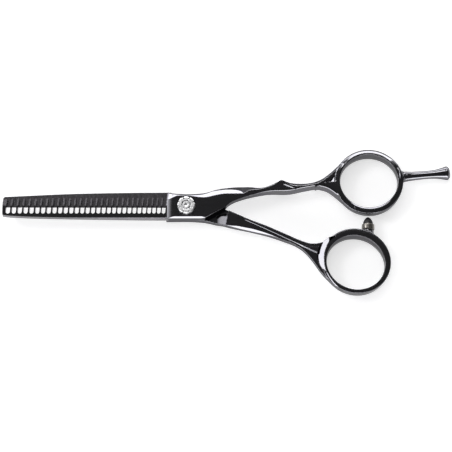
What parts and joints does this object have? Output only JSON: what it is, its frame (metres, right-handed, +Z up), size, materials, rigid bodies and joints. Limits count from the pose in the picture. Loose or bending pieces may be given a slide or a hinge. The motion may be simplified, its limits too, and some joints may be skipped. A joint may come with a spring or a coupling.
{
  "type": "thinning shears",
  "caption": "Hairdresser's thinning shears: a toothed blade over a straight blade on a ball-bearing pivot with a tension dial, offset finger rings, a screw-in finger rest and a bumper.",
  "frame": {"origin": "on the pivot axis, at the flat back face of the pivot screw head, which the shears lie on", "axes": "+Z up along the pivot toward the tension dial, +X from the pivot toward the finger rings, +Y toward the finger ring; the blades are closed"},
  "size_m": [0.1705, 0.0577, 0.0091],
  "materials": {
    "black_titanium": "mirror polished with a black titanium coating",
    "chrome": "polished",
    "hard_steel": "ground",
    "spring_steel": "satin",
    "bronze": "turned",
    "cage_polymer": "moulded",
    "grey_collar": "satin",
    "black_rubber": "matte"
  },
  "bodies": {
    "finger_half": {"toothed_half": "black_titanium", "finger_rest": "black_titanium", "pivot_bush": "bronze", "lower_race": "hard_steel"},
    "ball_bearing": {"ball_cage": "cage_polymer", "bearing_ball_1": "chrome", "bearing_ball_2": "chrome", "bearing_ball_3": "chrome", "bearing_ball_4": "chrome", "bearing_ball_5": "chrome", "bearing_ball_6": "chrome", "bearing_ball_7": "chrome", "bearing_ball_8": "chrome", "bearing_ball_9": "chrome", "bearing_ball_10": "chrome"},
    "thumb_half": {"straight_half": "black_titanium", "pivot_screw": "hard_steel", "upper_race": "hard_steel", "spring_washer": "spring_steel", "click_plate": "spring_steel", "hub_screw": "chrome", "bumper_collar": "grey_collar", "bumper_tip": "black_rubber"},
    "tension_dial": {"tension_dial": "chrome"}
  },
  "joints": [
    {"name": "blade_pivot", "type": "hinge", "parent": "finger_half", "child": "thumb_half", "pos_m": [0, 0, 0.0037], "axis": [0, 0, -1], "range_deg": [0, 90]},
    {"name": "bearing_turn", "type": "hinge", "parent": "finger_half", "child": "ball_bearing", "pos_m": [0, 0, 0.0059], "axis": [0, 0, -1], "range_deg": [0, 45]},
    {"name": "dial_turn", "type": "hinge", "parent": "thumb_half", "child": "tension_dial", "pos_m": [0, 0, 0.008], "axis": [0, 0, 1], "range_deg": [-180, 180]}
  ],
  "couplings": [
    {"joint": "bearing_turn", "follows": "blade_pivot", "ratio": 0.5}
  ]
}
